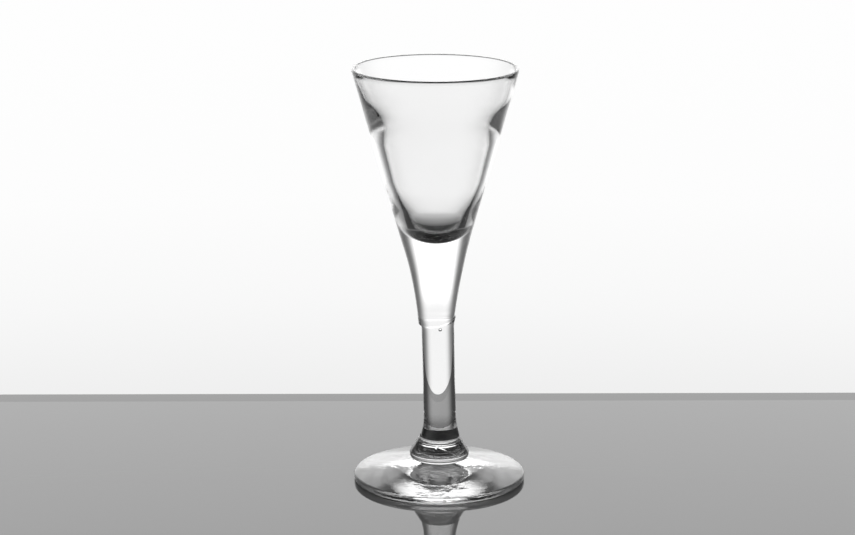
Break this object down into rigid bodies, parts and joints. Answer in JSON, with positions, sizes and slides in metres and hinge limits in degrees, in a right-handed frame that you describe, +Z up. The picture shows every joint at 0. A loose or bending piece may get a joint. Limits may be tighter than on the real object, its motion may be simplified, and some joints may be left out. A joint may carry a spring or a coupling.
{
  "type": "cordial glass",
  "caption": "Clear stemmed cordial glass with a thick-walled conical bowl, plain solid stem, flared collar and shallow conical foot, for a small measure of liqueur.",
  "frame": {"origin": "centre of the foot, in the plane it stands on", "axes": "+Z up towards the rim; -Y faces the viewer of the picture; -X is the side to which the bowl is set over"},
  "size_m": [0.0521, 0.052, 0.127],
  "materials": {
    "clear_glass": "fire-polished clear"
  },
  "bodies": {
    "root": {"foot": "clear_glass", "collar": "clear_glass", "stem": "clear_glass", "bowl": "clear_glass"}
  },
  "joints": []
}
